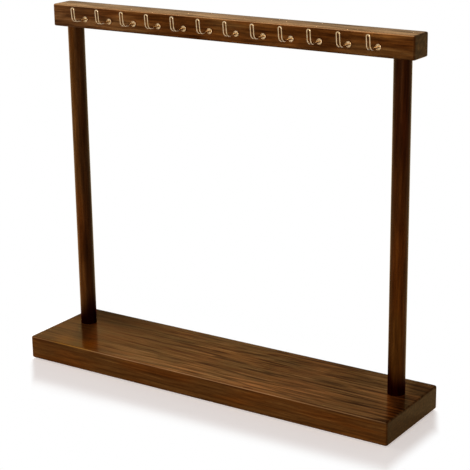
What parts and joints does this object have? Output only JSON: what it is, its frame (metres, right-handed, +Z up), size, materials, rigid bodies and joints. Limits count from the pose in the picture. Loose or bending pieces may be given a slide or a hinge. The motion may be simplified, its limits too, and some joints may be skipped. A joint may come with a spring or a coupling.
{
  "type": "necklace holder",
  "caption": "Free-standing necklace holder: a wooden bar with a row of small gold wire hooks, carried by round posts over a flat wooden base board.",
  "frame": {"origin": "middle of the footprint, on the surface that the foot pads stand on", "axes": "+X along the bar to the right, +Y to the back, +Z up; the hooks point to -Y"},
  "size_m": [0.4, 0.098, 0.3507],
  "materials": {
    "wood": "dark walnut stain with a satin lacquer",
    "gold_metal": "polished gold plating",
    "brass_insert": "machined brass",
    "steel": "zinc-plated steel",
    "rubber": "matt black rubber"
  },
  "bodies": {
    "root": {"bar_insert_left": "brass_insert", "bar_insert_right": "brass_insert", "base_board": "wood", "base_bolt_left": "steel", "base_bolt_right": "steel", "base_washer_left": "steel", "base_washer_right": "steel", "foot_pad_front_left": "rubber", "foot_pad_front_right": "rubber", "foot_pad_rear_left": "rubber", "foot_pad_rear_right": "rubber", "hanger_screw_left": "steel", "hanger_screw_right": "steel", "hook_01": "gold_metal", "hook_02": "gold_metal", "hook_03": "gold_metal", "hook_04": "gold_metal", "hook_05": "gold_metal", "hook_06": "gold_metal", "hook_07": "gold_metal", "hook_08": "gold_metal", "hook_09": "gold_metal", "hook_10": "gold_metal", "hook_11": "gold_metal", "hook_12": "gold_metal", "hook_stud_01": "gold_metal", "hook_stud_02": "gold_metal", "hook_stud_03": "gold_metal", "hook_stud_04": "gold_metal", "hook_stud_05": "gold_metal", "hook_stud_06": "gold_metal", "hook_stud_07": "gold_metal", "hook_stud_08": "gold_metal", "hook_stud_09": "gold_metal", "hook_stud_10": "gold_metal", "hook_stud_11": "gold_metal", "hook_stud_12": "gold_metal", "post_insert_left": "brass_insert", "post_insert_right": "brass_insert", "post_left": "wood", "post_right": "wood", "top_bar": "wood"}
  },
  "joints": []
}
